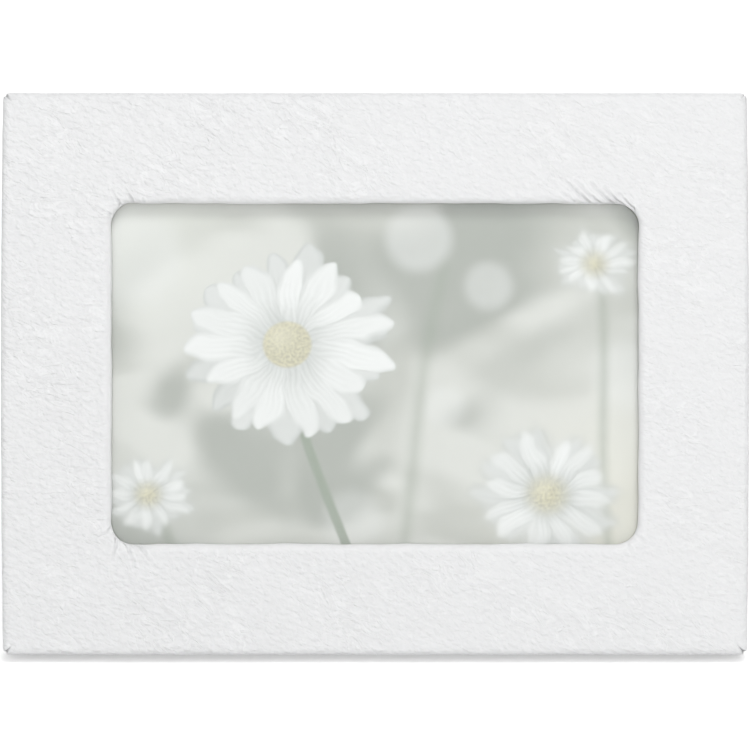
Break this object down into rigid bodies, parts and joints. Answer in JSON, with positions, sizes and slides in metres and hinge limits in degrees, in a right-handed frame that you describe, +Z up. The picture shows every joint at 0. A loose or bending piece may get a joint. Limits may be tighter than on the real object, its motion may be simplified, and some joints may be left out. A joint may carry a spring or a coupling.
{
  "type": "tabletop photo frame",
  "caption": "Landscape tabletop photo frame wrapped in white pebbled leather, with glass, a print, a backing held by turn buttons and a hinged easel leg.",
  "frame": {"origin": "on the floor under the middle of the whole object, with its leg open", "axes": "+Z up, the picture faces -Y and leans back towards +Y, +X to the right of a viewer who faces the picture"},
  "size_m": [0.204, 0.0678, 0.1512],
  "materials": {
    "leather": "white pebbled leather, satin",
    "fibreboard": "raw fibreboard",
    "suede": "napped suede paper",
    "glass": "clear, polished",
    "print": "glossy photographic paper",
    "card": "grey board",
    "nickel": "nickel plated",
    "ribbon": "woven satin ribbon"
  },
  "bodies": {
    "frame": {"leather_cover": "leather", "frame_core": "fibreboard", "rear_lining": "suede", "glass_pane": "glass", "photo_print": "print", "filler_card": "card", "backing_board": "fibreboard", "backing_cover": "suede", "hinge_upper_leaf": "nickel", "hinge_pin": "nickel", "hinge_rivet_upper_1": "nickel", "hinge_rivet_upper_2": "nickel", "stay_ribbon": "ribbon", "stay_rivet_upper": "nickel", "turn_button_screw_1": "nickel", "turn_button_screw_2": "nickel", "turn_button_screw_3": "nickel", "turn_button_screw_4": "nickel"},
    "leg": {"leg_board": "fibreboard", "leg_cover": "suede", "leg_liner": "suede", "hinge_lower_leaf": "nickel", "hinge_rivet_lower_1": "nickel", "hinge_rivet_lower_2": "nickel", "stay_rivet_lower": "nickel"},
    "turn_button_1_body": {"turn_button_1": "nickel"},
    "turn_button_2_body": {"turn_button_2": "nickel"},
    "turn_button_3_body": {"turn_button_3": "nickel"},
    "turn_button_4_body": {"turn_button_4": "nickel"}
  },
  "joints": [
    {"name": "leg_fold", "type": "hinge", "parent": "frame", "child": "leg", "pos_m": [0, 0.008, 0.10375], "axis": [1, 0, 0], "range_deg": [-27, 0], "deforming": ["stay_ribbon"]},
    {"name": "turn_button_1_turn", "type": "hinge", "parent": "frame", "child": "turn_button_1_body", "pos_m": [-0.05, 0.01123, 0.12912], "axis": [0, 0.9703, -0.2419], "continuous": true},
    {"name": "turn_button_2_turn", "type": "hinge", "parent": "frame", "child": "turn_button_2_body", "pos_m": [0.05, 0.01123, 0.12912], "axis": [0, 0.9703, -0.2419], "continuous": true},
    {"name": "turn_button_3_turn", "type": "hinge", "parent": "frame", "child": "turn_button_3_body", "pos_m": [0.05, -0.01625, 0.0189], "axis": [0, 0.9703, -0.2419], "continuous": true},
    {"name": "turn_button_4_turn", "type": "hinge", "parent": "frame", "child": "turn_button_4_body", "pos_m": [-0.05, -0.01625, 0.0189], "axis": [0, 0.9703, -0.2419], "continuous": true}
  ]
}
